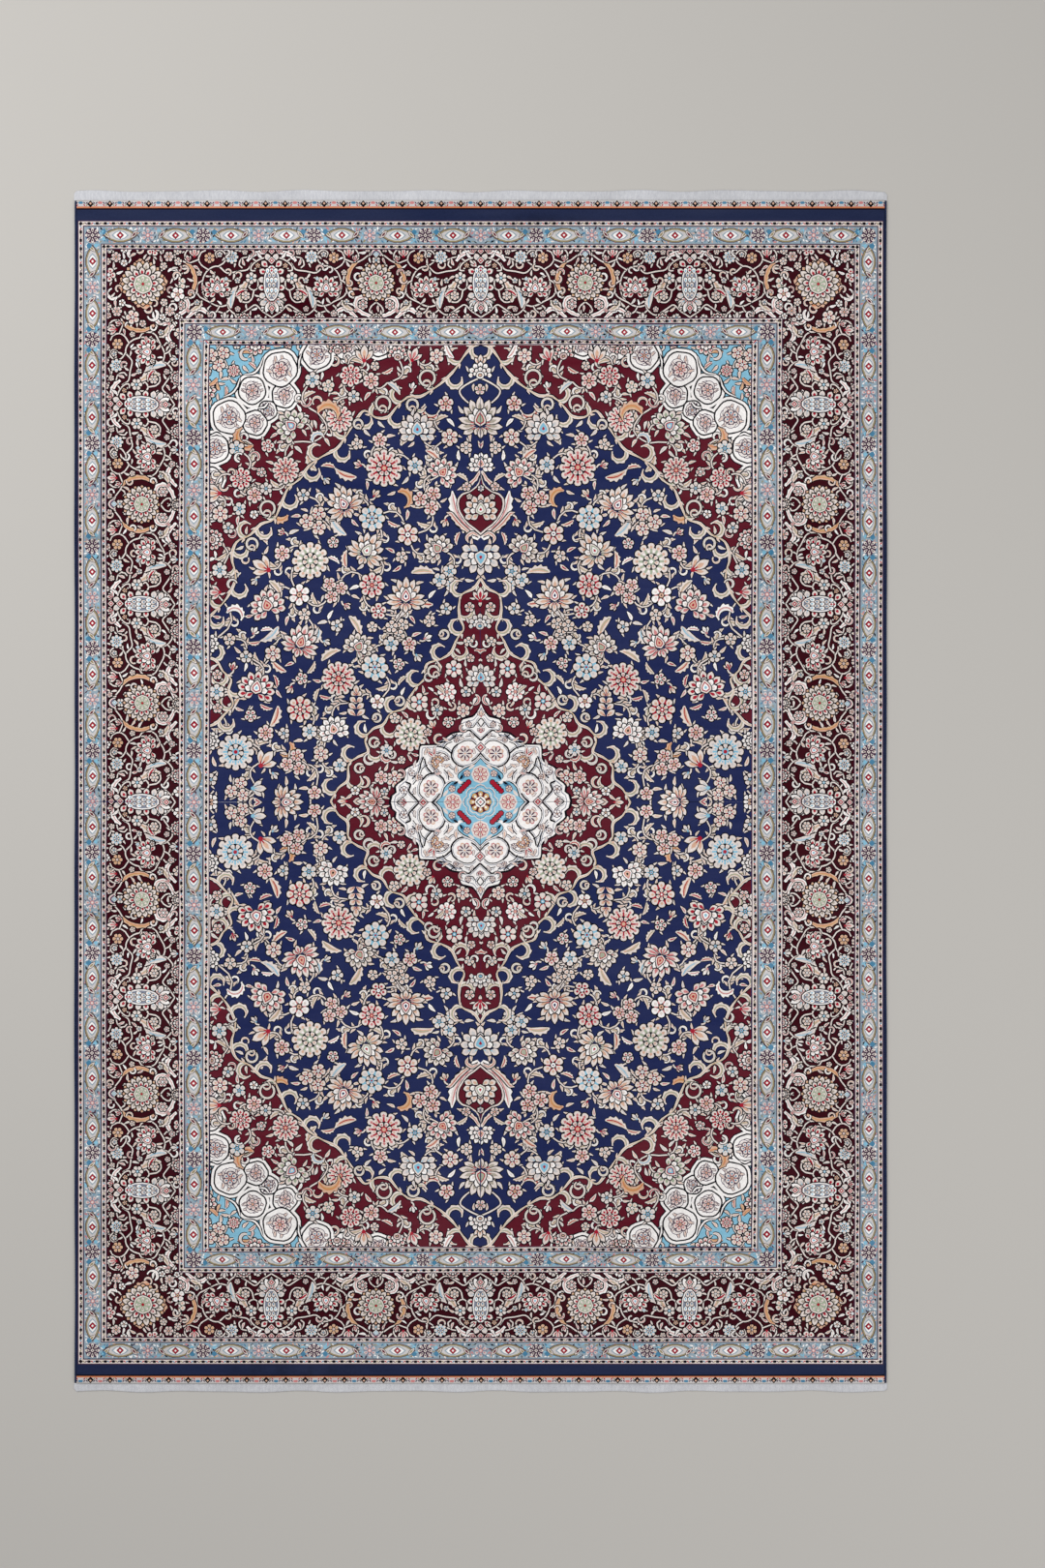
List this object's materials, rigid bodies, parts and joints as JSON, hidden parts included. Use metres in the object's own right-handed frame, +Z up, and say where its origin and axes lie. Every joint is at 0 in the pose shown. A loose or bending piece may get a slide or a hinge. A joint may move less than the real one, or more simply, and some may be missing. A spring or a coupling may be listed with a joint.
{
  "type": "persian rug",
  "caption": "Persian medallion rug with a flat pile body, overcast cords down its long sides and plain cotton strips across its ends.",
  "frame": {"origin": "under the middle of the rug, on the surface that it lies on", "axes": "+X across the width, +Y along the length towards the head end, +Z up out of the pile"},
  "size_m": [2, 2.9578, 0.0082],
  "materials": {
    "pile": "short cut pile in navy, maroon, ivory, light blue and red, low sheen",
    "overcast_yarn": "navy yarn wound round the edge cord",
    "cotton_strip": "plain woven off-white cotton, matt"
  },
  "bodies": {
    "root": {"rug_body": "pile", "side_cord_left": "overcast_yarn", "side_cord_right": "overcast_yarn", "end_strip_foot": "cotton_strip", "end_strip_head": "cotton_strip"}
  },
  "joints": []
}
